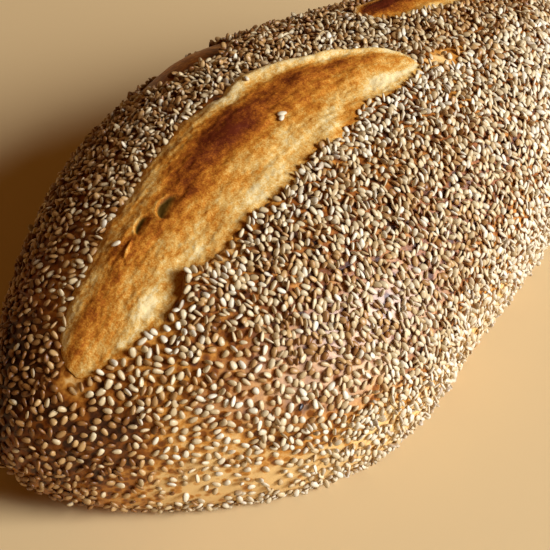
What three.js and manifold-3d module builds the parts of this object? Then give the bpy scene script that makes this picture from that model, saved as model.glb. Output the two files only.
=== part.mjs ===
// A semolina batard: a hand-shaped loaf with pointed ends, rolled in sesame and slashed twice before baking.
// Millimetres. +X runs along the loaf to its slimmer end, +Z is up, and the flat base lies on Z = 0.

import * as THREE from 'three';
import { mergeVertices } from 'three/addons/utils/BufferGeometryUtils.js';
import Module from 'manifold-3d';

// The whole loaf
const loafLength = 312;
const loafWidth = 158; // across the middle; the full half is a little wider
const loafHeight = 88;
const tipHeight = 27; // the tips of the two ends stand this far above the base

// The outline from above
const fullEndPinch = 0.55; // how far each end is drawn in from an ellipse towards a point
const slimEndPinch = 0.2;
const leftTaper = 0.27; // share of the width lost from the middle to the slim end, on the +Y side
const rightTaper = 0.43;
const rightWaist = 0.06; // shallow hollow in the -Y side, as a share of the half width
const sideSway = 2; // how far the middle of the loaf leans to +Y

// The outline from the side
const crownPower = 2.3;
const crownRoundness = 2.1;
const heightTaper = 0.05;
const baseFlat = 0.6; // share of the length that lies flat

// The section across
const widestAt = 0.38; // share of the height at which the loaf is widest
const shoulderRoundness = 2.15;
const flankRoundness = 3.2;
const basePress = 1.45; // how far the flank's curve runs on below the base, which cuts it off flat

// Slow hand-shaped swells in the crust: height, waves along the loaf, waves round it, and their starts
const swells = [
  { height: 0.9, along: 5.1, round: 2, alongStart: 1.3, roundStart: 0.6 },
  { height: 0.6, along: 9.3, round: 3, alongStart: 0.4, roundStart: 1.1 },
];

// A bare bulge on the +Y flank where the dough pushed out under the crust
const bulge = { height: 3, station: -0.06, stationSpread: 0.13, angle: 0.75, angleSpread: 0.3 };

// Two slashes that burst open in the oven. Each opens to a lens of bare crust round a bowed middle line.
const slashes = [
  {
    xStart: -133, xEnd: 33, yStart: -11, yEnd: -8, // the ends of the cut
    bow: 16.3, bowSkew: 1.7, // how far the middle line bows to +Y, and where
    width: 44, rise: 4.5, // the widest opening, and the swell of the crumb in it
  },
  { xStart: 44, xEnd: 134, yStart: 25.5, yEnd: 4, bow: 4, bowSkew: 1.2, width: 28, rise: 3 },
];
const slashBluntness = 0.45; // how quickly a slash opens from its ends
const ridgeAt = 0.2; // the swell's ridge lies this far towards +Y, as a share of the half opening
const edgeSink = 2.2; // the bare crust dips along the edges of the opening
const lipHeights = { right: 2.6, left: 1.2 }; // the torn crust stands up on either side
const lipReach = 7; // and settles again over this distance

// Sesame seeds
const seedCount = 190;
const seedLength = 3.3;
const seedWidth = 2.1;
const seedThickness = 0.95;
const seedTaper = 0.35; // a seed is pear shaped: the pointed end is this much slimmer
const seedLift = 0.22; // the middle of a seed lies this far above the crust
const seedSpacing = 13;
const seedMargin = 6; // crust left clear along the slashes
const seedFloor = 7; // lowest seeds above the base
const seedTries = 20000;
const seedSides = 6;
const seedRings = 3;

// A textbook sequence of drawn numbers, always the same
const drawStart = 20251;
const drawFactor = 1664525;
const drawStep = 1013904223;
const drawRange = 2 ** 32;

// Fineness of the crust
const lengthSteps = 46;
const roundSteps = 56;
const crownShare = 0.82; // share of the steps round the loaf that go to its crown and flanks
const underAngle = 0.9; // how far below the widest line, in radians, those steps reach
const poleGuard = 0.996; // normals are taken just inside the points of the loaf
const nudge = 1e-3;

const crustColour = 0xa8662c;
const crustRoughness = 0.8;

const { abs, cos, sin, sign, sqrt, hypot, PI } = Math;
const { lerp, clamp } = THREE.MathUtils;

// A power that keeps its sign, for superellipse sections
function signedPower(value, power) {
  return sign(value) * abs(value) ** power;
}

// Half widths, crown and underside at a station from -1, the full end, to +1, the slim end
function stationSizes(station) {
  const out = Math.min(abs(station), 1);
  const pinch = station < 0 ? fullEndPinch : slimEndPinch;
  const plan = loafWidth / 2 * sqrt(1 - out * out) * (1 - pinch * out * out);
  const crown = (1 - out ** crownPower) ** (1 / crownRoundness);
  const lift = clamp((out - baseFlat) / (1 - baseFlat), 0, 1);
  return {
    left: plan * (1 - leftTaper * station),
    right: plan * (1 - rightTaper * station - rightWaist * cos(2 * PI * station)),
    top: lerp(tipHeight, loafHeight * (1 - heightTaper * station), crown),
    low: tipHeight * (1 - sqrt(1 - lift * lift)),
  };
}

// The smooth loaf. The angle starts at the +Y flank and goes over the crown to the -Y flank.
function smoothLoaf(station, angle) {
  const { left, right, top, low } = stationSizes(station);
  const widest = lerp(low, top, widestAt);
  const half = cos(angle) > 0 ? left : right;
  const upper = sin(angle) >= 0;
  const roundness = upper ? shoulderRoundness : flankRoundness;
  const reach = abs(sin(angle)) ** (2 / roundness);
  const z = upper ? lerp(widest, top, reach) : lerp(widest, low, Math.min(reach * basePress, 1));
  const y = half * signedPower(cos(angle), 2 / roundness) + sideSway * (1 - station * station);
  return new THREE.Vector3(station * loafLength / 2, y, z);
}

// Where a plan point lies in a slash: its place across the opening, and its distance outside the edge
function placeInSlash(slash, x, y) {
  const along = (x - slash.xStart) / (slash.xEnd - slash.xStart);
  const inside = clamp(along, 0, 1);
  const bow = slash.bow * sin(PI * inside ** slash.bowSkew);
  const middle = lerp(slash.yStart, slash.yEnd, inside) + bow;
  const openness = (4 * inside * (1 - inside)) ** slashBluntness;
  const half = slash.width / 2 * openness;
  const beyond = (along - inside) * (slash.xEnd - slash.xStart);
  const aside = y - middle;
  return { aside, half, openness, edge: hypot(beyond, Math.max(abs(aside) - half, 0)) };
}

// Height that one slash adds to the crust: a swelling floor inside, torn lips outside
function slashRelief(slash, x, y) {
  const { aside, half, openness, edge } = placeInSlash(slash, x, y);
  if (edge > 0 || half === 0) {
    const lip = aside < 0 ? lipHeights.right : lipHeights.left;
    return lip * sqrt(openness) * Math.exp(-edge / lipReach);
  }
  const across = aside / half - ridgeAt;
  const reach = across > 0 ? 1 - ridgeAt : 1 + ridgeAt;
  const swell = 1 - (across / reach) ** 2;
  return openness * lerp(-edgeSink, slash.rise, swell);
}

// Relief of the crust: hand-shaped swells and slashes that fade out down the flanks, and the bulge
function crustRelief(station, angle, point) {
  const crown = Math.max(sin(angle), 0);
  const ends = 1 - station * station;
  let height = 0;
  for (const swell of swells) {
    const along = sin(swell.along * station + swell.alongStart);
    height += swell.height * along * sin(swell.round * angle + swell.roundStart) * sqrt(crown) * ends;
  }
  for (const slash of slashes) {
    height += slashRelief(slash, point.x, point.y) * sqrt(crown);
  }
  const bulgeAlong = (station - bulge.station) / bulge.stationSpread;
  const bulgeRound = (angle - bulge.angle) / bulge.angleSpread;
  return height + bulge.height * Math.exp(-(bulgeAlong ** 2) - bulgeRound ** 2);
}

// Outward direction of the smooth loaf, from two short steps on it
function outwardAt(station, angle) {
  const near = clamp(station, -poleGuard, poleGuard);
  const along = smoothLoaf(near + nudge, angle).sub(smoothLoaf(near - nudge, angle));
  const round = smoothLoaf(near, angle + nudge).sub(smoothLoaf(near, angle - nudge));
  return along.cross(round).normalize();
}

// The crust with its relief
function crustPoint(station, angle) {
  const point = smoothLoaf(station, angle);
  const height = crustRelief(station, angle, point);
  return height === 0 ? point : point.addScaledVector(outwardAt(station, angle), height);
}

// Turns even steps round a sphere into angles that are closer together over the crown than under the base
function sectionAngle(share) {
  if (share < crownShare) {
    return lerp(-underAngle, PI + underAngle, share / crownShare);
  }
  return lerp(PI + underAngle, 2 * PI - underAngle, (share - crownShare) / (1 - crownShare));
}

// The loaf before seeding: a sphere with its poles at the two points, drawn out to the crust
function makeCrust() {
  const geometry = new THREE.SphereGeometry(1, roundSteps, lengthSteps);
  const place = geometry.getAttribute('position');
  for (let i = 0; i < place.count; i++) {
    const turn = Math.atan2(place.getZ(i), place.getX(i)) / (2 * PI);
    const point = crustPoint(-place.getY(i), sectionAngle(turn - Math.floor(turn)));
    place.setXYZ(i, point.x, point.y, point.z);
  }
  return geometry;
}

// One sesame seed, flat side down, pointing along Y
function makeSeed() {
  const geometry = new THREE.SphereGeometry(0.5, seedSides, seedRings);
  const place = geometry.getAttribute('position');
  for (let i = 0; i < place.count; i++) {
    const slim = 1 - seedTaper * (place.getY(i) + 0.5);
    place.setX(i, place.getX(i) * slim);
  }
  return geometry.scale(seedWidth, seedLength, seedThickness);
}

// A repeatable draw of numbers from 0 to 1
function makeDraw(start) {
  let state = start;
  return () => {
    state = (drawFactor * state + drawStep) % drawRange;
    return state / drawRange;
  };
}

// Seeds lie all over the crust but not in the slashes or round the foot
function holdsSeed(point) {
  const clear = slashes.every((slash) => placeInSlash(slash, point.x, point.y).edge > seedMargin);
  return clear && point.z > seedFloor;
}

// Even scatter: drawn places are kept when no earlier seed is close
function scatterSeeds() {
  const draw = makeDraw(drawStart);
  const seeds = [];
  for (let i = 0; i < seedTries && seeds.length < seedCount; i++) {
    const station = lerp(-poleGuard, poleGuard, draw());
    const angle = lerp(-underAngle, PI + underAngle, draw());
    const turn = 2 * PI * draw();
    const point = crustPoint(station, angle);
    const alone = seeds.every((seed) => seed.point.distanceTo(point) > seedSpacing);
    if (alone && holdsSeed(point)) {
      seeds.push({ point, turn, outward: outwardAt(station, angle) });
    }
  }
  return seeds;
}

// Lays a seed flat on the crust, turned by its own angle
function layingOf({ point, turn, outward }) {
  const along = new THREE.Vector3(1, 0, 0).cross(outward).normalize().applyAxisAngle(outward, turn);
  const across = along.clone().cross(outward);
  const place = point.clone().addScaledVector(outward, seedLift);
  return new THREE.Matrix4().makeBasis(across, along, outward).setPosition(place);
}

const wasm = await Module();
wasm.setup();

// A closed three.js geometry as a solid that can be joined
function toSolid(geometry) {
  const bare = geometry.clone();
  bare.deleteAttribute('normal');
  bare.deleteAttribute('uv');
  const merged = mergeVertices(bare);
  const vertProperties = new Float32Array(merged.getAttribute('position').array);
  const triVerts = new Uint32Array(merged.index.array);
  return new wasm.Manifold(new wasm.Mesh({ numProp: 3, vertProperties, triVerts }));
}

// A joined solid as three.js geometry, standing over the middle of its own outline
function toGeometry(solid) {
  const mesh = solid.getMesh();
  const geometry = new THREE.BufferGeometry();
  geometry.setAttribute('position', new THREE.BufferAttribute(mesh.vertProperties, 3));
  geometry.setIndex(new THREE.BufferAttribute(mesh.triVerts, 1));
  geometry.computeBoundingBox();
  const middle = geometry.boundingBox.getCenter(new THREE.Vector3());
  geometry.translate(-middle.x, -middle.y, -geometry.boundingBox.min.z);
  geometry.computeVertexNormals();
  return geometry;
}

// The loaf with its seeds baked on
function makeLoaf() {
  const seed = makeSeed();
  let solid = toSolid(makeCrust());
  for (const place of scatterSeeds()) {
    solid = solid.add(toSolid(seed.clone().applyMatrix4(layingOf(place))));
  }
  const finish = { color: crustColour, roughness: crustRoughness, metalness: 0 };
  const material = new THREE.MeshStandardMaterial(finish);
  const loaf = new THREE.Mesh(toGeometry(solid), material);
  loaf.name = 'loaf';
  return loaf;
}

const bread = new THREE.Group();
bread.add(makeLoaf());

export default bread;
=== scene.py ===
import itertools
import math

import bpy
import numpy as np
from mathutils import Euler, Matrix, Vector


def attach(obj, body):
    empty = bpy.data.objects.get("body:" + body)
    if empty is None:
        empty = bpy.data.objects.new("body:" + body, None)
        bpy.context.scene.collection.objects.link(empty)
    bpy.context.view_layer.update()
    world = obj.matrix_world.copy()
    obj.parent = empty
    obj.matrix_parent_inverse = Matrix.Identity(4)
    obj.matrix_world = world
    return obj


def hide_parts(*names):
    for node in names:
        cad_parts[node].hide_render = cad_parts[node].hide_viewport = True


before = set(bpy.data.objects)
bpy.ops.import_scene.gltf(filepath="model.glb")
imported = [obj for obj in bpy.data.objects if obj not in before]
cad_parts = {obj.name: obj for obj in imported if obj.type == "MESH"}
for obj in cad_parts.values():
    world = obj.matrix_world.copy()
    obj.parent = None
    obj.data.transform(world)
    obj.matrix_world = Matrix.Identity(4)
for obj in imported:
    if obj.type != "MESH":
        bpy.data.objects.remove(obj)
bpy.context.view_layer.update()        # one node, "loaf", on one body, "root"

mm = 0.001

# Sizes are in millimetres, +X runs along the loaf to its slimmer end and the floor is at zero.
# A station goes from -1 at the full end to 1 at the slim end. An angle starts at the +Y flank, the
# left one, and goes over the crown to the -Y flank, the right one.
loaf = {
    "length": 312.0, "width": 158.0, "height": 88.0,
    "tip": 27.0,  # height of the tips of the two ends
    "fullPinch": 0.55, "slimPinch": 0.2,  # how far each end is drawn in to a point
    "leftTaper": 0.27, "rightTaper": 0.43,  # width lost towards the slim end on either side
    "rightWaist": 0.06,
    "sway": 2.0,  # how far the middle bows to the left
    "crownPower": 2.3, "crownRoundness": 2.1, "heightTaper": 0.05,  # how the crown falls to the ends
    "baseFlat": 0.6,  # share of the length that lies flat
    "widestAt": 0.38,  # share of the height
    "shoulder": 2.15, "flank": 3.2,  # roundness of a section above and below its widest place
    "press": 1.45,  # how far the base was pressed flat
    # hand-shaped waves: height, waves along and around, and where they start
    "swells": ((0.9, 5.1, 2, 1.3, 0.6), (0.6, 9.3, 3, 0.4, 1.1)),
    "bulge": (3.0, -0.06, 0.13, 0.75, 0.3),  # on the left: height, station, spread, angle, spread
    "lumps": ((14.0, 0.35, 3), (5.0, 0.16, 4)),  # low unevenness: size across, height, seed
}

noiseTurn = np.array(Euler((0.7, 0.4, 0.9)).to_matrix())  # keeps the noise's grid off the loaf's axes
noiseCells = 32


def softNoise(points, cell, seed):
    # smooth random field from -1 to 1 over points, with lumps about one cell across
    lattice = np.random.default_rng(seed).uniform(-1, 1, (noiseCells,) * 3)
    place = np.asarray(points, float) @ noiseTurn / cell
    base = np.floor(place).astype(int)
    part = place - base
    part = part * part * (3 - 2 * part)
    total = np.zeros(place.shape[:-1])
    for corner in itertools.product((0, 1), repeat=3):
        weight = np.prod(np.where(corner, part, 1 - part), axis=-1)
        index = (base + corner) % noiseCells
        total += weight * lattice[index[..., 0], index[..., 1], index[..., 2]]
    return total


def layeredNoise(points, layers, firstSeed=0):
    # layers: size across, strength, seed
    return sum(size * softNoise(points, cell, firstSeed + seed) for cell, size, seed in layers)


def smoothStep(low, high, value):
    part = np.clip((value - low) / (high - low), 0, 1)
    return part * part * (3 - 2 * part)


def ramped(setting, value):
    # a strength that comes in from one value to another
    strength, low, high = setting
    return strength * smoothStep(low, high, value)


def bell(value, middle, spread):
    # 1 at the middle, fading to both sides
    return np.exp(-((value - middle) / spread) ** 2)


def flankPatch(setting, station, angle):
    # a strength that fades round a station and an angle
    strength, middle, spread, turn, turnSpread = setting
    return strength * bell(station, middle, spread) * bell(angle, turn, turnSpread)


def unitLength(vectors):
    return vectors / np.linalg.norm(vectors, axis=-1, keepdims=True)


def stationSizes(station):
    # half widths, and the heights of the crown, the underside and the widest place
    out = np.clip(np.abs(station), 0, 1 - 1e-9)
    pinch = np.where(station < 0, loaf["fullPinch"], loaf["slimPinch"])
    plan = loaf["width"] / 2 * np.sqrt(1 - out * out) * (1 - pinch * out * out)
    left = plan * (1 - loaf["leftTaper"] * station)
    right = plan * (1 - loaf["rightTaper"] * station - loaf["rightWaist"] * np.cos(2 * np.pi * station))
    crown = (1 - out ** loaf["crownPower"]) ** (1 / loaf["crownRoundness"])
    top = loaf["tip"] + (loaf["height"] * (1 - loaf["heightTaper"] * station) - loaf["tip"]) * crown
    lift = np.clip((out - loaf["baseFlat"]) / (1 - loaf["baseFlat"]), 0, 1)
    low = loaf["tip"] * (1 - np.sqrt(1 - lift * lift))
    return left, right, top, low, low + loaf["widestAt"] * (top - low)


def smoothLoaf(station, angle):
    left, right, top, low, widest = stationSizes(station)
    cosine, sine = np.cos(angle), np.sin(angle)
    half = np.where(cosine > 0, left, right)
    upper = sine >= 0
    power = 2 / np.where(upper, loaf["shoulder"], loaf["flank"])
    reach = np.abs(sine) ** power
    z = np.where(upper, widest + (top - widest) * reach,
                 widest + (low - widest) * np.minimum(reach * loaf["press"], 1))
    y = half * np.sign(cosine) * np.abs(cosine) ** power + loaf["sway"] * (1 - station * station)
    return np.stack([station * loaf["length"] / 2 + 0 * y, y, z], -1)


def surfaceSteps(station, angle, step):
    # short ways over the smooth loaf, along and around
    along = smoothLoaf(station + step, angle) - smoothLoaf(station - step, angle)
    around = smoothLoaf(station, angle + step) - smoothLoaf(station, angle - step)
    return along, around


def outwardAt(station, angle):
    near = np.clip(station, -0.996, 0.996)  # short of the tips, where a section shrinks to a point
    along, around = surfaceSteps(near, angle, 1e-3)
    return unitLength(np.cross(around, along))


def crownHeight(x, y):
    # height of the smooth crown over a place in plan
    station = x / (loaf["length"] / 2)
    left, right, top, _, widest = stationSizes(station)
    aside = y - loaf["sway"] * (1 - station * station)
    across = np.clip(np.abs(aside) / np.where(aside > 0, left, right), 0, 0.9999)  # short of the flank
    return widest + (top - widest) * (1 - across ** loaf["shoulder"]) ** (1 / loaf["shoulder"])


def crownOutward(x, y):
    step = 0.4
    slopeX = (crownHeight(x + step, y) - crownHeight(x - step, y)) / (2 * step)
    slopeY = (crownHeight(x, y + step) - crownHeight(x, y - step)) / (2 * step)
    return unitLength(np.stack([-slopeX, -slopeY, np.ones_like(slopeX)], -1))


# The outline's middle is the part's origin, so every piece shifts sideways by this much
outlineSteps = 200
outlineStations = -np.cos(np.linspace(0, np.pi, outlineSteps))
outlineAngles = np.linspace(0, 2 * np.pi, outlineSteps)
outlineY = smoothLoaf(*np.meshgrid(outlineStations, outlineAngles))[..., 1]
sideShift = -(outlineY.min() + outlineY.max()) / 2


# Two slashes that burst open in the oven. A place along one goes from 0 to 1.
slashes = (
    {
        "name": "longBloom",
        "xStart": -133.0, "xEnd": 33.0, "yStart": -11.0, "yEnd": -8.0,
        "bow": 16.3, "bowSkew": 1.7, "width": 44.0, "relief": 1.0, "seed": 11,
        # how the edges leave their even line: place along, spread, mm outwards
        "rightEdge": ((0.05, 0.05, -3.0), (0.167, 0.03, 1.0), (0.258, 0.026, -5.0), (0.58, 0.17, 4.2),
                      (0.74, 0.05, 2.5), (0.9, 0.05, 3.5)),
        "leftEdge": ((0.72, 0.05, 2.2), (0.97, 0.05, 4.5)),
        # where the right lip stands up more, and where the bare crust rolls up at its left edge
        "flap": ((0.25, 0.047, 2.2), (0.9, 0.06, 1.2)),
        "rim": ((0.8, 0.2, 2.0),),
        # browning of the ridge: place along, spread, strength
        "browned": ((0.135, 0.094, 0.2), (0.28, 0.073, 0.4), (0.417, 0.083, 0.9), (0.552, 0.094, 0.9),
                    (0.71, 0.083, 0.7), (0.865, 0.094, 0.6)),
        # pale crumb on the right slope: place along, spread, share of the half opening, strength
        "crumb": ((0.1, 0.03, -0.68, 0.3), (0.165, 0.036, -0.5, 0.34), (0.302, 0.036, -0.6, 0.32),
                  (0.465, 0.06, -0.72, 0.3), (0.73, 0.06, -0.6, 0.24), (0.93, 0.065, -0.5, 0.34)),
        # darker ovals: x, y, half length, half width, turn, strength
        "scorched": ((-37.5, 8.0, 11.0, 6.5, -0.2, 0.2), (-99.6, 3.4, 2.6, 1.6, 0.6, 0.3),
                     (10.6, -16.4, 3.4, 2.2, 0.0, 0.45), (-2.0, -17.6, 4.0, 1.6, 0.0, 0.35)),
    },
    {
        "name": "farBloom",
        "xStart": 44.0, "xEnd": 134.0, "yStart": 25.5, "yEnd": 4.0,
        "bow": 4.0, "bowSkew": 1.2, "width": 28.0, "relief": 0.65, "seed": 23,
        "rightEdge": ((0.2, 0.2, 2.5), (0.05, 0.06, 4.5)),
        "leftEdge": ((0.6, 0.1, 1.0), (0.05, 0.06, 9.0)),
        "flap": ((0.2, 0.3, -0.5),),
        "rim": ((0.4, 0.3, 0.5),),
        "browned": ((0.2, 0.25, 1.4), (0.65, 0.2, 1.1)),
        "crumb": ((0.3, 0.3, -0.75, 0.14),),
        "scorched": ((60.0, 24.0, 16.0, 8.0, -0.4, 0.24),),
    },
)
slashForm = {
    "bluntness": 0.45,  # how slim its two ends are
    "leastHalf": 1.0,
    "lip": (0.7, 0.5), "lipReach": 7.0,  # how far torn crust stands up on the right and the left
    "curl": (1.8, 0.3), "curlReach": 2.2,  # how far it leans over the opening
    "pit": 6.0,  # the crust goes on down below the bare crust
    "wall": 3.0,  # width of the step down to there
    "tear": ((9.0, 1.3), (3.4, 0.8)),  # jagged edge: length and size of its teeth
    "edgesApart": 5.3,  # in the noise, in teeth, so that the two edges tear differently
}


def placeAlong(slash, x):
    return (x - slash["xStart"]) / (slash["xEnd"] - slash["xStart"])


def slashX(slash, along):
    return slash["xStart"] + along * (slash["xEnd"] - slash["xStart"])


def slashMiddle(slash, along):
    inside = np.clip(along, 0, 1)
    bow = slash["bow"] * np.sin(np.pi * inside ** slash["bowSkew"])
    middle = slash["yStart"] + (slash["yEnd"] - slash["yStart"]) * inside + bow
    openness = (4 * inside * (1 - inside)) ** slashForm["bluntness"]
    return middle, openness


def bumpsAlong(bumps, along):
    return sum(size * bell(along, place, spread) for place, spread, size in bumps)


def halfOpening(slash, along, isRight):
    # from the slash's middle out to its torn edge
    _, openness = slashMiddle(slash, along)
    x = slashX(slash, along)
    wander = np.where(isRight, bumpsAlong(slash["rightEdge"], along), bumpsAlong(slash["leftEdge"], along))
    for cell, size in slashForm["tear"]:
        line = np.stack([x, np.where(isRight, 0.0, slashForm["edgesApart"] * cell), 0 * x], -1)
        wander = wander + size * softNoise(line, cell, slash["seed"])
    return np.maximum(slash["width"] / 2 + wander, slashForm["leastHalf"]) * openness


def placeInSlash(slash, x, y):
    # distance left of the slash's middle, its openness, distance outside its edge, and the side
    span = slash["xEnd"] - slash["xStart"]
    along = placeAlong(slash, x)
    inside = np.clip(along, 0, 1)
    middle, openness = slashMiddle(slash, inside)
    aside = y - middle
    isRight = aside < 0
    beyond = (along - inside) * span
    gap = np.abs(aside) - halfOpening(slash, inside, isRight)
    edge = np.where(beyond == 0, gap, np.hypot(beyond, np.maximum(gap, 0)))
    return aside, openness, edge, isRight


def ovalReach(points, oval):
    # distance in plan from an oval's middle, 1 at its rim
    centreX, centreY, halfLength, halfWidth, turn = oval[:5]
    dx, dy = points[..., 0] - centreX, points[..., 1] - centreY
    along = dx * math.cos(turn) + dy * math.sin(turn)
    across = dy * math.cos(turn) - dx * math.sin(turn)
    return np.hypot(along / halfLength, across / halfWidth)


def softOvals(points, ovals):
    # the strength of an oval is its sixth number
    return sum(oval[5] * np.exp(-ovalReach(points, oval) ** 2) for oval in ovals)


def handShape(station, angle, smooth, crown):
    # height over the smooth loaf of its swells, bulge and low lumps
    height = np.zeros(station.shape)
    for size, along, around, alongStart, aroundStart in loaf["swells"]:
        wave = np.sin(along * station + alongStart) * np.sin(around * angle + aroundStart)
        height += size * wave * crown * (1 - station * station)
    height += flankPatch(loaf["bulge"], station, angle)
    return height + crown * layeredNoise(smooth, loaf["lumps"])


def crustShape(station, angle):
    # the seeded crust's points, their outward directions and their distances from a slash's edge
    smooth = smoothLoaf(station, angle)
    outward = outwardAt(station, angle)
    onTop = np.sin(angle) > 0
    crown = np.sqrt(np.maximum(np.sin(angle), 0))
    height = handShape(station, angle, smooth, crown)
    shift = np.zeros(station.shape)
    nearestEdge = np.full(station.shape, np.inf)
    for slash in slashes:
        aside, openness, edge, isRight = placeInSlash(slash, smooth[..., 0], smooth[..., 1])
        along = np.clip(placeAlong(slash, smooth[..., 0]), 0, 1)
        right, left = slashForm["lip"]
        lip = np.where(isRight, right + bumpsAlong(slash["flap"], along), left) * np.sqrt(openness)
        outside = lip * np.exp(-np.maximum(edge, 0) / slashForm["lipReach"])
        plunge = smoothStep(0, -slashForm["wall"], edge) * (slashForm["pit"] * np.sqrt(openness) + lip)
        height += crown * (outside - plunge)
        lean = np.where(isRight, *slashForm["curl"]) * np.sqrt(openness)
        shift += crown * np.sign(-aside) * lean * bell(edge, 0, slashForm["curlReach"]) * onTop
        nearestEdge = np.where(onTop, np.minimum(nearestEdge, edge), nearestEdge)
    points = smooth + outward * height[..., None]
    points[..., 1] += shift
    points[..., 2] = np.maximum(points[..., 2], 0)
    return points, outward, nearestEdge


def makePiece(name, points, faces, material, values):
    # a mesh in metres, shifted to the part's origin, with named values on its points
    mesh = bpy.data.meshes.new(name)
    place = (points + (0, sideShift, 0)) * mm
    mesh.from_pydata(place.tolist(), [], faces)
    mesh.polygons.foreach_set("use_smooth", np.ones(len(faces), bool))
    for label, numbers in values.items():
        layer = mesh.attributes.new(label, "FLOAT", "POINT")
        layer.data.foreach_set("value", np.asarray(numbers, np.float32).ravel())
    mesh.materials.append(material)
    mesh.update()
    piece = bpy.data.objects.new(name, mesh)
    bpy.context.scene.collection.objects.link(piece)
    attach(piece, "root")
    print("made", name, len(mesh.vertices), "points", len(mesh.polygons), "faces")
    return piece


# Materials
def linearColour(code):
    # sRGB hex to linear
    parts = [int(code[i:i + 2], 16) / 255 for i in (1, 3, 5)]
    return (*[p / 12.92 if p <= 0.04045 else ((p + 0.055) / 1.055) ** 2.4 for p in parts], 1)


def addNode(tree, kind, settings=None, inputs=None):
    # adds a node with its options and stops, and sets or links its inputs
    node = tree.nodes.new("ShaderNode" + kind)
    for name, value in (settings or {}).items():
        if name == "stops":
            while len(node.color_ramp.elements) < len(value):
                node.color_ramp.elements.new(0.5)
            for element, (position, code) in zip(node.color_ramp.elements, value):
                element.position = position
                element.color = linearColour(code)
        else:
            setattr(node, name, value)
    for name, value in (inputs or {}).items():
        if isinstance(value, bpy.types.Node):
            value = value.outputs[0]  # a node stands for its first output
        if isinstance(value, bpy.types.NodeSocket):
            tree.links.new(value, node.inputs[name])
        else:
            node.inputs[name].default_value = value
    return node


def startMaterial(name, look):
    material = bpy.data.materials.new(name)
    material.use_nodes = True
    tree = material.node_tree
    shader = tree.nodes["Principled BSDF"]
    shader.inputs["Roughness"].default_value = look["roughness"]
    shader.inputs["IOR"].default_value = look["ior"]
    return material, tree, shader


def pointValues(tree, *labels):
    # the place on a piece and the named values of its points
    place = addNode(tree, "TexCoord").outputs["Object"]
    values = [addNode(tree, "Attribute", {"attribute_name": label}).outputs["Fac"] for label in labels]
    return place, *values


def addGrain(tree, shader, place, look):
    # fine blisters in the crust
    grain = addNode(tree, "TexNoise", None, {
        "Vector": place, "Scale": 1 / (look["grainSize"] * mm), "Detail": 3.0})
    bump = addNode(tree, "Bump", None, {
        "Height": grain, "Strength": look["grainStrength"], "Distance": look["grainDepth"] * mm})
    tree.links.new(bump.outputs["Normal"], shader.inputs["Normal"])


def bakedCrustMaterial():
    # baked bread crust: dry, gold where thin, brown where it caught the heat, a dull satin; its colour
    # also holds painted shade and a painted sheen
    look = {
        "stops": ((0.0, "#F0C880"), (0.28, "#D08E38"), (0.6, "#8E4E10"), (1.0, "#421F09")),
        "mottleSize": 2.0,  # mm, patches of deeper colour
        "spotGap": 3.6,  # mm between the dark spots: browned dents that lost seeds left, also painted shade between the seeds
        "spotUneven": 0.6,
        "spotEdge": (0.78, 0.54),  # where a dent starts and where it is full
        "spotDepth": 0.4,
        "veil": "#DCC3A6",  # painted sheen: a pale pinkish colour for the light's reflection on the crust
        "paintedSheenOverSpots": -1.2,  # the painted sheen is left out of the dark spots
        "sheen": (0.55, 0.1),  # satin crust, dull crust
        "grainSize": 0.5,  # mm, fine blisters, drawn a little coarse
        "grainDepth": 0.4, "grainStrength": 0.22,
        "roughness": 0.42, "ior": 1.45,
    }
    material, tree, shader = startMaterial("bakedCrust", look)
    place, bake, dull, veil = pointValues(tree, "bake", "dull", "veil")
    mottle = addNode(tree, "TexNoise", None, {
        "Vector": place, "Scale": 1 / (look["mottleSize"] * mm), "Detail": 4.0, "Roughness": 0.6})
    patchy = addNode(tree, "Math", {"operation": "ADD"}, {0: mottle, 1: bake})
    # dark spots: browned dents that lost seeds, also painted shade between the seeds
    spot = addNode(tree, "TexVoronoi", None, {"Vector": place, "Scale": 1 / (look["spotGap"] * mm)})
    uneven = addNode(tree, "Math", {"operation": "MULTIPLY_ADD"}, {
        0: mottle, 1: look["spotUneven"], 2: spot})
    start, full = look["spotEdge"]
    spotted = addNode(tree, "MapRange", {"interpolation_type": "SMOOTHSTEP"}, {
        "Value": uneven, "From Min": start, "From Max": full, "To Min": 0.0, "To Max": look["spotDepth"]})
    seeded = addNode(tree, "Math", {"operation": "SUBTRACT"}, {0: 1.0, 1: dull})
    shade = addNode(tree, "Math", {"operation": "MULTIPLY_ADD"}, {0: spotted, 1: seeded, 2: patchy})
    ramp = addNode(tree, "ValToRGB", {"stops": look["stops"]}, {"Fac": shade})
    # painted sheen: a pale colour for the light's reflection, mixed in and left out of the dark spots
    paintedSheenShare = addNode(tree, "Math", {"operation": "MULTIPLY_ADD", "use_clamp": True}, {
        0: spotted, 1: look["paintedSheenOverSpots"], 2: veil})
    withPaintedSheen = addNode(tree, "Mix", {"data_type": "RGBA"}, {
        "Factor": paintedSheenShare, 6: ramp, 7: linearColour(look["veil"])})
    tree.links.new(withPaintedSheen.outputs[2], shader.inputs["Base Color"])
    satin, faint = look["sheen"]
    sheen = addNode(tree, "MapRange", None, {"Value": dull, "To Min": satin, "To Max": faint})
    tree.links.new(sheen.outputs[0], shader.inputs["Specular IOR Level"])
    addGrain(tree, shader, place, look)
    return material


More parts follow.
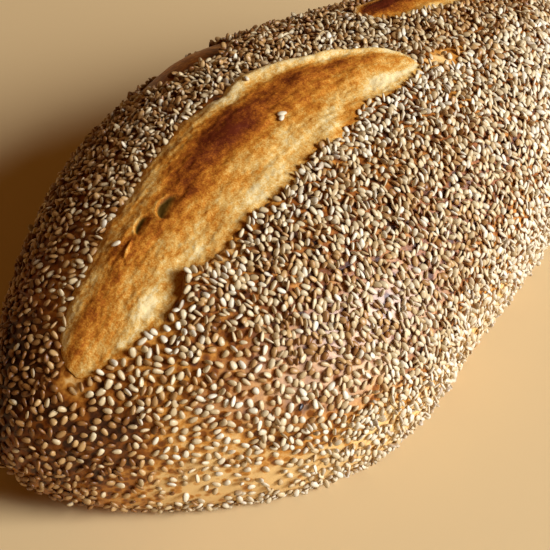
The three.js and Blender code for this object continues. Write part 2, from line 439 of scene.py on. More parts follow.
def burstCrustMaterial():
    # crust that opened late in the oven: finely blistered, cream in the folds, brown on the ridge
    look = {
        "stops": ((0.0, "#E6D096"), (0.2, "#D8AE5E"), (0.42, "#C27F27"), (0.62, "#A05814"),
                  (0.8, "#76380A"), (1.0, "#561D04")),
        "mottleSize": 2.4,  # mm, patches of deeper colour
        "mottle": 0.75,
        "speckSize": 0.55,  # mm, tiny blisters that catch more heat
        "speck": 0.85,
        "level": 0.8,  # what the two add on average, taken off again
        "hollow": "#4C3608",
        "grainSize": 0.35,  # mm, drawn a little coarse
        "grainDepth": 0.35, "grainStrength": 0.35,
        "sheen": 0.14,  # porous, so it shines less
        "roughness": 0.7, "ior": 1.45,
    }
    material, tree, shader = startMaterial("burstCrust", look)
    shader.inputs["Specular IOR Level"].default_value = look["sheen"]
    place, bake, hollow = pointValues(tree, "bake", "hollow")
    mottle = addNode(tree, "TexNoise", None, {
        "Vector": place, "Scale": 1 / (look["mottleSize"] * mm), "Detail": 5.0, "Roughness": 0.65})
    speck = addNode(tree, "TexNoise", None, {
        "Vector": place, "Scale": 1 / (look["speckSize"] * mm), "Detail": 3.0, "Roughness": 0.7})
    patchy = addNode(tree, "Math", {"operation": "MULTIPLY_ADD"}, {0: mottle, 1: look["mottle"], 2: bake})
    specked = addNode(tree, "Math", {"operation": "MULTIPLY_ADD"}, {0: speck, 1: look["speck"], 2: patchy})
    level = addNode(tree, "Math", {"operation": "SUBTRACT"}, {0: specked, 1: look["level"]})
    ramp = addNode(tree, "ValToRGB", {"stops": look["stops"]}, {"Fac": level})
    inside = addNode(tree, "Mix", {"data_type": "RGBA"}, {
        "Factor": hollow, 6: ramp, 7: linearColour(look["hollow"])})
    tree.links.new(inside.outputs[2], shader.inputs["Base Color"])
    addGrain(tree, shader, place, look)
    return material


def sesameMaterial(name, pale, deep):
    # hulled sesame: a smooth, faintly oily skin, cream that toasts to tan, with painted shade at its foot
    look = {
        "stainSize": 0.9, "stain": 0.35,  # mm, and how much deeper the stains are
        "rim": "#70401A",  # brown of the crust round the foot of a seed, also painted shade where the seed meets the crust
        "roughness": 0.4, "ior": 1.47,
    }
    material, tree, shader = startMaterial(name, look)
    place, tone, under = pointValues(tree, "tone", "under")
    stain = addNode(tree, "TexNoise", None, {
        "Vector": place, "Scale": 1 / (look["stainSize"] * mm), "Detail": 2.0})
    level = addNode(tree, "Math", {"operation": "MULTIPLY_ADD", "use_clamp": True}, {
        0: stain, 1: look["stain"], 2: tone})
    colour = addNode(tree, "Mix", {"data_type": "RGBA"}, {
        "Factor": level, 6: linearColour(pale), 7: linearColour(deep)})
    # painted shade and browning round the seed's foot
    withUnderBrownAndShade = addNode(tree, "Mix", {"data_type": "RGBA"}, {
        "Factor": under, 6: colour.outputs[2], 7: linearColour(look["rim"])})
    tree.links.new(withUnderBrownAndShade.outputs[2], shader.inputs["Base Color"])
    return material


# The seeded crust, one closed skin
crust = {
    "alongSteps": 400, "aroundSteps": 230,
    "evenShare": 0.6,  # the rest of the steps crowd towards the ends
    "angleSteps": 4001,  # from which the steps around are chosen
    "crownDetail": (1.6, 0.5, 1.8),  # finer round the slashes: angle, spread, strength
    "underDetail": (-0.6, 0.45),  # coarser where the angle's sine is below the first number
    # golden run-outs of the long slash: an oval in plan, how much paler, share of seeds lost
    "tails": ((-134.3, -13.0, 5.6, 4.2, 1.9, 0.8, 0.97), (42.5, -11.6, 11.0, 4.6, -0.2, 0.48, 0.95)),
    # few seeds by the right edge of the long slash: place along, spread, strength
    "thinLip": ((0.1, 0.05, 0.7), (0.345, 0.06, 0.95), (0.47, 0.03, 0.6)),
    "thinLipReach": 3.4,
    # where dough pushed through bare: station, spread, angle, spread
    "bareFlank": (-0.09, 0.13, 0.71, 0.23),
    "dullFlank": (0.9, -0.1, 0.6),  # shine lost on the left, by the angle's cosine
    # painted sheen, pale where the light's reflection falls: strength, station, spread, angle, spread
    "veil": (0.78, -0.4, 0.29, 2.62, 0.32),
    "paintedSheenPatches": ((6.0, 0.25, 10),), "paintedSheenWorn": 0.15,
    "burntSeed": (-0.555, 2.79),  # station and angle
    "tipValues": {"bake": 0.1, "dull": 0.0, "veil": 0.0},
    # What browns the crust and what keeps it gold, with painted shade and a painted sheen among them. A
    # strength comes first, then between which stations, heights in mm or cosines of the angle it comes in.
    "heat": {
        "base": -0.35,
        "hearthShields": (12, 50),  # heights
        "crown": 0.24,
        "patches": ((22.0, 0.16, 7), (5.0, 0.2, 8)),
        "footPatches": ((3.5, 0.2, 9),),
        # painted shade: darker crust under dense seeds, for the shade between them
        "shadeUnderSeeds": (0.2, -0.7, -0.2), "shadeUnderSeedsAbove": (25, 50),
        # painted shade: darker crust on the left flank, away from the light
        "shadedLeftFlank": (0.27, -0.1, 0.6),
        # painted shade: darker crust at the full end, away from the light
        "shadedFullEnd": (0.55, -0.74, -0.9),
        "scorch": (0.8, 1.7),  # round the burnt seed: strength, mm
        "bareFlank": 0.5,
        "foot": (0.36, 0.3, -0.4), "footSide": (0, -0.5),
        "paintedSheenPaling": (0.2, -0.45, 0.25, 2.75, 0.3),  # painted sheen: paler crust low on the right, where the light's reflection falls
        "lip": 0.25,
    },
}
burntSpot = smoothLoaf(*np.array(crust["burntSeed"]))


def sectionAngles():
    # angles round a section, closest together on the crown
    angle = np.linspace(-np.pi / 2, 1.5 * np.pi, crust["angleSteps"])
    middle, spread, strength = crust["crownDetail"]
    underSine, underWeight = crust["underDetail"]
    weight = np.where(np.sin(angle) > underSine, 1.0, underWeight) + strength * bell(angle, middle, spread)
    share = np.cumsum(weight) / weight.sum()
    return np.interp(np.linspace(0, 1, crust["aroundSteps"], endpoint=False), share, angle)


def bareFlankReach(station, angle):
    # distance from the middle of the bare place on the flank, 1 at its rim
    middle, spread, turn, turnSpread = crust["bareFlank"]
    return np.hypot((station - middle) / spread, (angle - turn) / turnSpread)


def rightLip(points):
    # 1 at the right edge of the long slash where few seeds stayed on, fading away from it
    slash = slashes[0]
    x, y = points[..., 0], points[..., 1]
    _, _, edge, isRight = placeInSlash(slash, x, y)
    thin = bumpsAlong(crust["thinLip"], placeAlong(slash, x)) * isRight * (points[..., 2] > loaf["tip"])
    return thin * bell(np.maximum(edge, 0), 0, crust["thinLipReach"])


def crustBakeAndShade(points, station, angle):
    # place along the crust's colours, from gold to dark brown
    heat = crust["heat"]
    z, side = points[..., 2], np.cos(angle)
    high = smoothStep(*heat["hearthShields"], z)
    brown = heat["base"] + heat["crown"] * high + layeredNoise(points, heat["patches"])
    brown += (1 - high) * layeredNoise(points, heat["footPatches"])
    # painted shade under dense seeds, on the left flank and at the full end
    brown += ramped(heat["shadeUnderSeeds"], station) * smoothStep(*heat["shadeUnderSeedsAbove"], z)
    brown += ramped(heat["shadedLeftFlank"], side) + ramped(heat["shadedFullEnd"], station)
    strength, spread = heat["scorch"]
    brown += strength * bell(np.linalg.norm(points - burntSpot, axis=-1), 0, spread)
    gold = softOvals(points, crust["tails"]) * (np.sin(angle) > 0)
    gold += heat["bareFlank"] * bell(bareFlankReach(station, angle), 0, 1)
    gold += ramped(heat["foot"], station) * (1 - high) * smoothStep(*heat["footSide"], side)
    # painted sheen: paler crust low on the right
    gold += flankPatch(heat["paintedSheenPaling"], station, angle) + heat["lip"] * rightLip(points)
    return brown - gold


def skinFaces(rings, count):
    # four-sided faces between rings of points, and a fan to the tip at either end
    around = np.arange(count)
    after = (around + 1) % count
    start = (np.arange(rings - 1) * count)[:, None]
    quads = np.stack([start + around, start + after, start + count + after, start + count + around], -1)
    lastRing, firstTip = (rings - 1) * count, rings * count
    nearFan = np.stack([after, around, np.full(count, firstTip)], -1)
    farFan = np.stack([lastRing + around, lastRing + after, np.full(count, firstTip + 1)], -1)
    return [*quads.reshape(-1, 4).tolist(), *nearFan.tolist(), *farFan.tolist()]


def makeCrust():
    count, share = crust["alongSteps"] + 1, crust["evenShare"]
    crowded = -np.cos(np.linspace(0, np.pi, count))
    stations = (np.linspace(-1, 1, count) * share + crowded * (1 - share))[1:-1]
    station, angle = np.meshgrid(stations, sectionAngles(), indexing="ij")
    points, _, _ = crustShape(station, angle)
    tips = smoothLoaf(np.array([-1.0, 1.0]), np.zeros(2))
    porous = np.exp(-bareFlankReach(station, angle) ** 4)
    # painted sheen: a pale colour where the light's reflection falls, in patches
    strength, *where = crust["veil"]
    strength = strength + layeredNoise(points, crust["paintedSheenPatches"])
    values = {
        "bake": crustBakeAndShade(points, station, angle),
        "dull": np.maximum(porous, ramped(crust["dullFlank"], np.cos(angle))),
        "veil": flankPatch((strength, *where), station, angle) - crust["paintedSheenWorn"],
    }
    for label, atTip in crust["tipValues"].items():
        values[label] = np.append(values[label].ravel(), [atTip, atTip])
    piece = makePiece("crust", np.vstack([points.reshape(-1, 3), tips]), skinFaces(*station.shape),
                      bakedCrustMaterial(), values)
    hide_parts("loaf")


# The bare crust in a slash: a fine skin whose edges go in under the torn lips.
# A place across it goes from -1 at the right edge to 1 at the left edge.
bloom = {
    "step": 0.38,  # mm between points
    "evenShare": 0.6,  # the rest of the steps crowd towards the ends
    "ends": (0.002, 0.05),  # how far even and crowded steps keep from the slash's two points
    "tuck": 1.16,  # runs on past the edge by this share
    # section: place across, height over the smooth loaf
    "section": ((-1.2, -2.0), (-1.0, 0.2), (-0.82, 0.2), (-0.5, 0.8), (-0.1, 1.9), (0.25, 2.9),
                (0.55, 2.8), (0.8, 2.1), (1.0, 1.2), (1.2, -1.6)),
    "sectionReach": 1.4, "sectionSteps": 281, "sectionBlend": 33,  # steps that round its corners
    "endFall": 0.7,  # how it falls towards its ends
    # size across, height and seed of its lumps, which fade near its ends
    "lumps": ((9.0, 0.7, 1), (3.6, 0.26, 1), (1.5, 0.15, 1), (0.8, 0.11, 1)),
    "lumpFade": 1.5,
    "streak": (16.0, 1.7, 0.18),  # stretch marks along the slash: length, width, height
    "blisters": (  # broken bubbles: x, y, half length, half width, turn, depth
        (-76.9, 0.3, 6.2, 5.0, -0.45, 1.5),
        (-88.1, 2.4, 4.1, 3.0, 0.76, 1.2),
    ),
    "blisterUneven": ((2.4, 0.06, 41),),
    "blisterEdge": (1.0, 0.88),
    "wallFaces": (-0.4, 0.92),  # the way their steep, hollow side faces
    "deepSide": (-0.7, 0.9),  # how depth, shade and torn film grow towards that side
    "darkSide": (0.0, 0.6), "filmSide": (0.2, 0.8),
    "film": (1.08, 0.12), "filmHeight": 0.12, "floorBrown": 0.3,
    "folds": ((-96.7, 0.2, 3.6, 0.8, 0.45, 0.9),),  # a curled tear, as blisters
    "rolledRim": (0.86, 0.15),  # place across, spread
    "rimPale": 0.2,
    # What browns the bare crust and what keeps it pale. A strength comes first, then between which places
    # along or across it comes in.
    "heat": {
        "base": 0.4,
        "ridge": (0.46, 0.32, 0.44, 0.28),  # strength, place across, spread to the right and to the left
        "patches": ((11.0, 0.13, 5), (4.0, 0.1, 6)),
        "streaks": (6.0, 0.09, 7),  # length in mm, strength, seed
        "slope": (0.15, -0.5), "slopeNear": 0.03, "slopeFar": (0.07, 0.42, 0.62),
        "leftRim": (0.38, 0.78), "leftRimLeast": 0.07,
        "leftRimFar": (0.25, 0.48, 0.62), "leftRimNear": (0.1, 0.2, 0.08),
        "crumbSpread": 0.15,
        "nearLeft": (0.07, 0.36, 0.21), "nearLeftAcross": (0.3, 0.35),
        "torn": (0.14, -0.8, -0.95),
        "nearEnd": (0.05, 0.35, 0.15),
    },
}


def smoothSection():
    across = np.linspace(-bloom["sectionReach"], bloom["sectionReach"], bloom["sectionSteps"])
    blend = np.hanning(bloom["sectionBlend"])
    height = np.pad(np.interp(across, *zip(*bloom["section"])), len(blend) // 2, "edge")
    return across, np.convolve(height, blend / blend.sum(), "valid")


sectionAcross, sectionHeight = smoothSection()


def bloomBlisters(plan):
    # height, hollow shade and pale rim of the broken bubbles and the curled tear
    height, hollow, rim = np.zeros((3, *plan.shape[:-1]))
    wallX, wallY = bloom["wallFaces"]
    for oval in bloom["blisters"]:
        far = ovalReach(plan, oval) + layeredNoise(plan, bloom["blisterUneven"])
        lean = ((plan[..., 0] - oval[0]) * wallX + (plan[..., 1] - oval[1]) * wallY) / oval[3]
        inside = smoothStep(*bloom["blisterEdge"], far)
        film = bell(far, *bloom["film"]) * smoothStep(*bloom["filmSide"], lean)
        height += bloom["filmHeight"] * film - oval[5] * inside * smoothStep(*bloom["deepSide"], lean)
        hollow = np.maximum(hollow, inside * smoothStep(*bloom["darkSide"], lean))
        rim = np.maximum(rim, film) - bloom["floorBrown"] * inside
    for oval in bloom["folds"]:
        fold = np.maximum(1 - ovalReach(plan, oval) ** 2, 0)
        height += oval[5] * fold
        rim = np.maximum(rim, fold)
    return height, hollow, rim


def bloomBake(slash, along, across, plan):
    # place along the bare crust's colours: dark along the ridge, gold on the slopes, cream at the edges
    heat = bloom["heat"]
    strength, middle, rightSpread, leftSpread = heat["ridge"]
    ridge = bell(across, middle, np.where(across < middle, rightSpread, leftSpread))
    brown = heat["base"] + strength * ridge * bumpsAlong(slash["browned"], along)
    brown += softOvals(plan, slash["scorched"]) + layeredNoise(plan, heat["patches"], slash["seed"])
    length, strength, seed = heat["streaks"]
    brown += strength * softNoise(plan / (length, 1.0, 1.0), 1.0, slash["seed"] + seed)
    brown += ramped(heat["nearLeft"], along) * bell(across, *heat["nearLeftAcross"])
    brown += ramped(heat["torn"], across)
    pale = smoothStep(*heat["slope"], across) * (heat["slopeNear"] + ramped(heat["slopeFar"], along))
    leftRim = heat["leftRimLeast"] + ramped(heat["leftRimFar"], along) + ramped(heat["leftRimNear"], along)
    pale += leftRim * smoothStep(*heat["leftRim"], across)
    for place, spread, aside, strength in slash["crumb"]:
        pale += strength * bell(along, place, spread) * bell(across, aside, heat["crumbSpread"])
    return brown - pale - ramped(heat["nearEnd"], along)


def bloomShape(slash, along, across):
    # points of the bare crust, its browning and its hollow shade
    x = slashX(slash, along)
    middle, openness = slashMiddle(slash, along)
    y = middle + across * halfOpening(slash, along, across < 0)
    plan = np.stack([x, y, 0 * x], -1)
    blistered, hollow, rim = bloomBlisters(plan)
    section = np.interp(across, sectionAcross, sectionHeight)
    height = openness ** bloom["endFall"] * slash["relief"] * section + blistered
    lumps = layeredNoise(plan, bloom["lumps"], slash["seed"])
    height += lumps * np.minimum(openness * bloom["lumpFade"], 1)
    length, width, size = bloom["streak"]
    stretched = np.stack([x / length, (y - middle) / width, 0 * x], -1)
    height += size * softNoise(stretched, 1.0, slash["seed"] + 2)
    height += bumpsAlong(slash["rim"], along) * bell(across, *bloom["rolledRim"])
    points = np.stack([x, y, crownHeight(x, y)], -1) + crownOutward(x, y) * height[..., None]
    return points, bloomBake(slash, along, across, plan) - bloom["rimPale"] * rim, hollow


def makeBloom(slash, material):
    alongCount = int((slash["xEnd"] - slash["xStart"]) / bloom["step"])
    acrossCount = int(slash["width"] * bloom["tuck"] / bloom["step"])
    evenEnd, crowdedEnd = bloom["ends"]
    even = np.linspace(evenEnd, 1 - evenEnd, alongCount)
    crowded = 0.5 - 0.5 * np.cos(np.linspace(crowdedEnd, np.pi - crowdedEnd, alongCount))
    share = bloom["evenShare"]
    steps = share * even + (1 - share) * crowded
    sideways = np.linspace(-bloom["tuck"], bloom["tuck"], acrossCount)
    along, across = np.meshgrid(steps, sideways, indexing="ij")
    points, bake, hollow = bloomShape(slash, along, across)
    index = np.arange(along.size).reshape(along.shape)
    quads = np.stack([index[:-1, :-1], index[1:, :-1], index[1:, 1:], index[:-1, 1:]], -1).reshape(-1, 4)
    makePiece(slash["name"], points.reshape(-1, 3), quads.tolist(), material,
              {"bake": bake, "hollow": hollow})


# Sesame seeds, laid one by one where there is room
sesame = {
    "length": 3.2, "width": 2.25, "thickness": 1.15,
    "vary": 0.1,  # share by which sizes differ
    "slimEnd": 0.34,  # a seed is pear shaped
    "girth": (0.85, 1.12),  # how blunt its ends and how full its middle are
    "rings": 4, "sides": 6,
    "tries": 260000, "drawsPerTry": 3,
    "lastStation": 0.999,
    "underReach": 0.75,  # how far below the widest place they go, in radians
    "lowest": 1.5,  # mm over the floor
    "steepest": -0.8,  # how far an overhang may face down
    "gap": (1.22, 2.15),  # closest ends of two seeds: dense cover, thin cover
    "gapSteps": 4,
    "cell": 0.4,  # mm, of the grid that marks what is taken
    "margin": 6.0,
    "endAt": 0.21,  # an end's distance from the middle, as a share of the length
    "tilt": (0.42, 0.16),  # how unevenly they lie, in radians: dense cover, thin cover
    "onEdge": 1.0,  # how much more they roll on edge in the dense cover
    # how far rolling the dough turned them across the loaf, from which x on, and on which side
    "comb": (0.7, -115, -65), "combSide": (0.4, 0.1),
    "rolledAbout": (1.0, -0.39, 0.0),
    "sit": 0.34,  # height of a seed's middle over the crust
    "tiltLift": 0.35,  # a tilted seed stands higher, by a share of its length
    "rollLift": 0.3,  # one on its edge too, in mm
    "edgeGap": 0.3,  # seeds' middles keep this far from a slash's edge
    "kinds": (  # name, share, pale and deep colour
        ("paleSesame", 0.26, "#E6DCC0", "#D2C098"),
        ("creamSesame", 0.3, "#D8C69C", "#BDA06E"),
        ("toastedSesame", 0.25, "#C6A168", "#9A6E3A"),
        ("brownSesame", 0.19, "#9E6C34", "#5E3814"),
    ),
    "toneSpread": (1.6, 2.2), "toneStart": -0.15,
    "tipTone": (0.3, 0.25, 0.5),  # the pointed end is deeper in colour
    "browned": (0.48, 0.35, -0.25),  # how far their undersides took on that brown, partly painted shade at the foot
    "burnt": ("#2A1C18", "#120B0A"),
    "burntRoom": 3.0,  # mm clear round the burnt seed
    "strewn": ((-25.5, 2.2), (-24.0, 3.4), (-97.7, 4.5), (-19.0, 24.5)),  # on the long slash: x, y
    "strewnTilt": 0.15,
    # How closely seeds lie. A strength comes first, then between which stations or heights it comes in.
    "covering": {
        "base": 0.35,
        "along": (0.6, -0.75, -0.3),
        "crown": (0.25, 40, 75),
        "leftFrom": 0.3, "leftLeast": 0.55,  # the angle's cosine, and the least cover there
        "patches": ((13.0, 0.45, 31),),
    },
    # Places that few seeds reached: soft ranges of height, angle and station, unevenness, and share lost
    "bareBand": {
        "above": (7, 11), "below": (38, 23), "from": (-0.95, -0.88), "to": (-0.45, -0.6),
        "uneven": ((10.0, 4.0, 33),), "lost": 0.85,
    },
    "bareFoot": {
        "angles": (2.98, 3.12), "from": (-0.6, -0.45), "to": (0.5, 0.2),
        "uneven": ((15.0, 0.14, 37),), "lost": 0.8,
    },
    "bareFlankUneven": ((12.0, 0.3, 35), (4.0, 0.15, 36)), "lipLost": 0.93,
    # How dark or pale the seeds are, in mm of x, y and height, or by the outward direction's Y: browning,
    # with painted shade away from the light and painted light low on the right
    "seedDarkening": {
        "patches": ((12.0, 0.8, 51),),
        # painted shade: darker seeds on the left flank, away from the light
        "shadedLeftFlank": (1.5, 0.0, 0.6),
        # painted shade: darker seeds at the full end
        "shadedFullEnd": (1.8, -114, -138),
        # painted shade: darker seeds on the slim crown's left side, farther from the light
        "shadedSlimCrown": (1.9, 20, 60), "shadedSlimCrownSide": (-35, -5),
        # painted light: paler seeds low on the right, where the light falls
        "litLowRight": (1.5, 66, 35), "litLowRightFrom": (-138, -108),
        "middle": (0.4, -90, -40),
        "slimEnd": (1.6, 0, 80),
        "lip": (1.2, 16, 5),  # mm from the edge of the long slash
    },
}


def seedCover(points, station, angle):
    # how closely seeds lie, from 0 for a thin to 1 for a dense cover
    rule = sesame["covering"]
    cover = rule["base"] + ramped(rule["along"], station) + ramped(rule["crown"], points[..., 2])
    cover = np.where(np.cos(angle) > rule["leftFrom"], np.maximum(cover, rule["leftLeast"]), cover)
    return np.clip(cover + layeredNoise(points, rule["patches"]), 0, 1)


def seedChance(points, station, angle):
    # share of seeds that stayed on: few on the golden foot, the bare flank and the slash's run-outs
    rule = sesame["bareBand"]
    z = points[..., 2] + layeredNoise(points, rule["uneven"])
    band = smoothStep(*rule["above"], z) * smoothStep(*rule["below"], z) * (np.cos(angle) < 0)
    band *= smoothStep(*rule["from"], station) * smoothStep(*rule["to"], station)
    stays = (1 - rule["lost"] * band) ** 2
    rule = sesame["bareFoot"]
    foot = smoothStep(*rule["angles"], angle + layeredNoise(points, rule["uneven"]))
    foot *= smoothStep(*rule["from"], station) * smoothStep(*rule["to"], station)
    stays *= 1 - rule["lost"] * foot
    stays *= 1 - sesame["lipLost"] * rightLip(points)
    for oval in crust["tails"]:
        inTail = (ovalReach(points, oval) < 1) & (np.sin(angle) > 0)
        stays *= 1 - oval[6] * inTail
    onFlank = bareFlankReach(station, angle) + layeredNoise(points, sesame["bareFlankUneven"]) < 1
    return np.where(onFlank, 0, stays)


def seedSpots(draw):
    # places drawn evenly over the crust by area
    tries, draws = sesame["tries"], sesame["tries"] * sesame["drawsPerTry"]
    station = draw.uniform(-sesame["lastStation"], sesame["lastStation"], draws)
    angle = draw.uniform(-sesame["underReach"], np.pi + sesame["underReach"], draws)
    area = np.linalg.norm(np.cross(*surfaceSteps(station, angle, 5e-4)), axis=-1)
    kept = draw.uniform(0, np.percentile(area, 99), draws) < area  # the few largest count alike
    station, angle = station[kept][:tries], angle[kept][:tries]
    points, outward, edge = crustShape(station, angle)
    stays = draw.uniform(0, 1, len(points)) < seedChance(points, station, angle)
    onLoaf = (points[:, 2] > sesame["lowest"]) & (outward[:, 2] > sesame["steepest"])
    clear = (edge > sesame["edgeGap"]) & onLoaf & stays
    return points[clear], outward[clear], seedCover(points, station, angle)[clear]


def turnSeeds(points, outward, cover, draw):
    # long axis, roll and tilt of each seed: turned at random, then combed across the loaf
    helper = np.where(np.abs(outward[:, 2:]) < 0.8, (0.3, 0.2, 1.0), (1.0, 0.2, 0.1))  # well off outward
    side = unitLength(np.cross(outward, helper))
    turn = draw.uniform(0, 2 * np.pi, (len(points), 1))
    dense, thin = sesame["tilt"]
    tilt, roll = draw.normal(0, 1, (2, len(points))) * (thin + (dense - thin) * cover)
    roll = roll * (1 + sesame["onEdge"] * cover)
    flat = np.cos(turn) * side + np.sin(turn) * np.cross(outward, side)
    combed = unitLength(np.cross(outward, sesame["rolledAbout"]))
    pull = ramped(sesame["comb"], points[:, :1]) * smoothStep(*sesame["combSide"], outward[:, 1:2])
    flat = unitLength(flat + pull * np.sign((flat * combed).sum(1, keepdims=True)) * combed)
    axis = np.cos(tilt)[:, None] * flat + np.sin(tilt)[:, None] * outward
    return axis, roll, tilt


def seedsWithRoom(points, axis, cover):
    # keeps a seed where both of its ends fall in cells that no earlier seed has taken
    cell = sesame["cell"]
    low = points.min(0) - sesame["margin"]
    cells = np.ceil((points.max(0) + sesame["margin"] - low) / cell).astype(int)
    strides = np.array([cells[1] * cells[2], cells[2], 1])
    reach = sesame["endAt"] * sesame["length"]
    ends = [((points + axis * way - low) / cell).astype(int) @ strides for way in (reach, -reach)]
    dense, thin = sesame["gap"]
    widest = int(thin / cell)
    around = np.array(list(itertools.product(range(-widest, widest + 1), repeat=3)))
    distance = np.linalg.norm(around, axis=1) * cell
    balls = [around[distance < gap] @ strides for gap in np.linspace(thin, dense, sesame["gapSteps"])]
    rank = np.rint(cover * (sesame["gapSteps"] - 1)).astype(int)
    taken = np.zeros(cells.prod(), bool)
    kept = []
    for spot, (first, second, level) in enumerate(zip(*(part.tolist() for part in (*ends, rank)))):
        if not (taken[first] or taken[second]):
            taken[first + balls[level]] = True
            taken[second + balls[level]] = True
            kept.append(spot)
    return kept


def pickSeeds(seeds, chosen):
    return {label: part[chosen] for label, part in seeds.items()}


def laySeeds(draw):
    points, outward, cover = seedSpots(draw)
    axis, roll, tilt = turnSeeds(points, outward, cover, draw)
    kept = seedsWithRoom(points, axis, cover)
    print("laid", len(kept), "seeds")
    return pickSeeds(dict(place=points, outward=outward, axis=axis, roll=roll, tilt=tilt), kept)


def strewnSeeds(draw):
    # a few seeds that fell on the long slash
    slash = slashes[0]
    x, y = np.array(sesame["strewn"]).T
    along = placeAlong(slash, x)
    middle, _ = slashMiddle(slash, along)
    across = (y - middle) / halfOpening(slash, along, y < middle)
    points, _, _ = bloomShape(slash, along, across)
    outward = crownOutward(x, y)
    axis = unitLength(np.cross(outward, draw.normal(0, 1, (len(x), 3))))
    tilt, roll = draw.normal(0, sesame["strewnTilt"], (2, len(x)))
    return dict(place=points, outward=outward, axis=axis, roll=roll, tilt=tilt)


def seedForm():
    # unit seed along X, pointed at +X, as points and triangles
    rings, sides = sesame["rings"], sesame["sides"]
    blunt, full = sesame["girth"]
    points = [(-0.5, 0.0, 0.0)]
    for ring in range(1, rings + 1):
        turn = math.pi * ring / (rings + 1)
        slim = 1 - sesame["slimEnd"] * (0.5 - 0.5 * math.cos(turn))
        girth = 0.5 * math.sin(turn) ** blunt * slim * full
        for side in range(sides):
            angle = 2 * math.pi * side / sides
            points.append((-0.5 * math.cos(turn), girth * math.cos(angle), girth * math.sin(angle)))
    points.append((0.5, 0.0, 0.0))
    faces = []
    lastRing = 1 + (rings - 1) * sides
    for side in range(sides):
        after = (side + 1) % sides
        faces.append((0, 1 + after, 1 + side))
        for ring in range(rings - 1):
            a, b = 1 + ring * sides + side, 1 + ring * sides + after
            faces.append((a, b, b + sides))
            faces.append((a, b + sides, a + sides))
        faces.append((lastRing + side, lastRing + after, len(points) - 1))
    return np.array(points), np.array(faces)


def makeSeedPiece(name, colours, seeds, draw):
    # copies the unit seed to each place and joins the copies
    form, faces = seedForm()
    axis, outward, roll = seeds["axis"], seeds["outward"], seeds["roll"]
    count = len(roll)
    side = unitLength(np.cross(outward, axis))
    up = np.cross(axis, side)
    across = np.cos(roll)[:, None] * side + np.sin(roll)[:, None] * up
    upward = np.cross(axis, across)
    size = 1 + sesame["vary"] * draw.normal(0, 1, (count, 3))
    size *= (sesame["length"], sesame["width"], sesame["thickness"])
    lift = sesame["sit"] + np.abs(np.sin(seeds["tilt"])) * sesame["tiltLift"] * sesame["length"]
    lift += np.abs(np.sin(roll)) * sesame["rollLift"]
    middle = seeds["place"] + outward * lift[:, None]
    frames = np.stack([axis * size[:, :1], across * size[:, 1:2], upward * size[:, 2:]], 1)
    points = middle[:, None] + np.einsum("pk,skx->spx", form, frames)
    points[..., 2] = np.maximum(points[..., 2], 0)  # pressed in where they meet the floor
    triangles = faces[None] + (np.arange(count) * len(form))[:, None, None]
    tone = draw.beta(*sesame["toneSpread"], (count, 1)) + sesame["toneStart"]
    values = {
        "tone": tone + ramped(sesame["tipTone"], form[None, :, 0]),
        # painted shade and browning on the underside
        "under": np.tile(ramped(sesame["browned"], form[:, 2]), count),
    }
    makePiece(name, points.reshape(-1, 3), triangles.reshape(-1, 3).tolist(),
              sesameMaterial(name, *colours), values)


def seedDarkness(seeds, draw):
    # how dark each seed is: the heat it took, with painted shade and painted light
    rule = sesame["seedDarkening"]
    x, y, z = seeds["place"].T
    facing = seeds["outward"][:, 1]
    darkness = draw.normal(0, 1, len(x)) + layeredNoise(seeds["place"], rule["patches"])
    # painted shade on the left flank, the full end and the slim crown; painted light low on the right
    darkness += ramped(rule["shadedLeftFlank"], facing) + ramped(rule["shadedFullEnd"], x)
    darkness += ramped(rule["shadedSlimCrown"], x) * smoothStep(*rule["shadedSlimCrownSide"], y)
    darkness -= ramped(rule["litLowRight"], z) * smoothStep(*rule["litLowRightFrom"], x) * (facing < 0)
    darkness -= ramped(rule["middle"], x) + ramped(rule["slimEnd"], x)
    _, _, edge, isRight = placeInSlash(slashes[0], x, y)
    return darkness - ramped(rule["lip"], edge) * isRight


def makeSeeds():
    # one piece for each degree of darkness, from toasting, painted shade and painted light, and one seed
    # that burnt
    draw = np.random.default_rng(20251)
    seeds = laySeeds(draw)
    fromBurnt = np.linalg.norm(seeds["place"] - burntSpot, axis=1)
    isBurnt = np.arange(len(fromBurnt)) == np.argmin(fromBurnt)
    seeds["roll"][isBurnt] = 0
    seeds["tilt"][isBurnt] = 0
    rank = np.argsort(np.argsort(seedDarkness(seeds, draw))) / len(fromBurnt)
    hasRoom = fromBurnt >= sesame["burntRoom"]
    start = 0.0
    for name, share, *colours in sesame["kinds"]:
        chosen = (rank >= start) & (rank < start + share) & hasRoom & ~isBurnt
        start += share
        kind = pickSeeds(seeds, chosen)
        if name == "paleSesame":
            strewn = strewnSeeds(draw)
            kind = {label: np.concatenate([part, strewn[label]]) for label, part in kind.items()}
        makeSeedPiece(name, colours, kind, draw)
    makeSeedPiece("burntSesame", sesame["burnt"], pickSeeds(seeds, isBurnt), draw)


# Studio: a plain pale floor, soft window-like light from the right, the camera at the photo's angle
studio = {
    "floorSize": 40.0,  # m, so that no edge of it shows
    "paint": {"colour": "#D2B582", "roughness": 0.55, "ior": 1.45},
    "world": ("#E29C48", 0.165),
    "lights": (  # place as right, away and up from the loaf in m, size in m, watts, colour
        ("windowLight", (2.0, -0.65, 1.3), 1.1, 124.0, "#F0F4FF"),
        ("wallGlow", (-1.7, 0.7, 0.45), 1.4, 2.2, "#EBBE84"),
    ),
    "lightsAim": (0, 0, 0.04),  # m
    "turn": 43.54, "elevation": 47.0, "distance": 460.0,  # the camera's angle, and mm from its target
    "target": (-42.13, -10.55, 35.0),
    "focal": 1295.0, "imageSide": 550.0,  # in pixels of the photo
    "sensor": 36.0, "clip": (0.01, 50.0),
}


def aimAlong(thing, direction):
    thing.rotation_euler = direction.to_track_quat("-Z", "Y").to_euler()
    bpy.context.scene.collection.objects.link(thing)


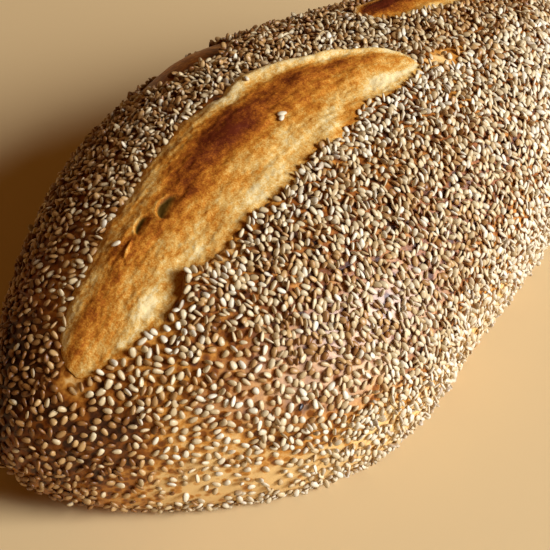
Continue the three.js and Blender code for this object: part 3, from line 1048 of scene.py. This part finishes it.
def placeCamera(away):
    elevation = math.radians(studio["elevation"])
    target = (Vector(studio["target"]) + Vector((0, sideShift, 0))) * mm
    forward = away * math.cos(elevation) - Vector((0, 0, math.sin(elevation)))
    data = bpy.data.cameras.new("photoView")
    data.sensor_width = studio["sensor"]
    data.lens = studio["sensor"] * studio["focal"] / studio["imageSide"]
    data.clip_start, data.clip_end = studio["clip"]
    camera = bpy.data.objects.new("photoView", data)
    camera.location = target - forward * studio["distance"] * mm
    aimAlong(camera, forward)
    bpy.context.scene.camera = camera


def layFloor():
    half = studio["floorSize"] / 2
    corners = [(-half, -half, 0), (half, -half, 0), (half, half, 0), (-half, half, 0)]
    mesh = bpy.data.meshes.new("floor")
    mesh.from_pydata(corners, [], [(0, 1, 2, 3)])
    # plain pale paint, faintly satin
    material, _, shader = startMaterial("paintedBoard", studio["paint"])
    shader.inputs["Base Color"].default_value = linearColour(studio["paint"]["colour"])
    mesh.materials.append(material)
    floor = bpy.data.objects.new("floor", mesh)
    bpy.context.scene.collection.objects.link(floor)


def makeStudio():
    turn = math.radians(studio["turn"])
    away = Vector((math.cos(turn), math.sin(turn), 0))
    right = Vector((math.sin(turn), -math.cos(turn), 0))
    placeCamera(away)
    layFloor()
    for name, (toRight, toAway, up), size, power, colour in studio["lights"]:
        lamp = bpy.data.lights.new(name, "AREA")
        lamp.size = size
        lamp.energy = power
        lamp.color = linearColour(colour)[:3]
        light = bpy.data.objects.new(name, lamp)
        light.location = right * toRight + away * toAway + Vector((0, 0, up))
        aimAlong(light, Vector(studio["lightsAim"]) - light.location)
    world = bpy.data.worlds.new("softRoom")
    world.use_nodes = True
    colour, strength = studio["world"]
    sky = world.node_tree.nodes["Background"]
    sky.inputs["Color"].default_value = linearColour(colour)
    sky.inputs["Strength"].default_value = strength
    bpy.context.scene.world = world
    bpy.context.scene.view_settings.view_transform = "Standard"
    print("studio ready")


makeStudio()
makeCrust()
burstCrust = burstCrustMaterial()
for slash in slashes:
    makeBloom(slash, burstCrust)
makeSeeds()
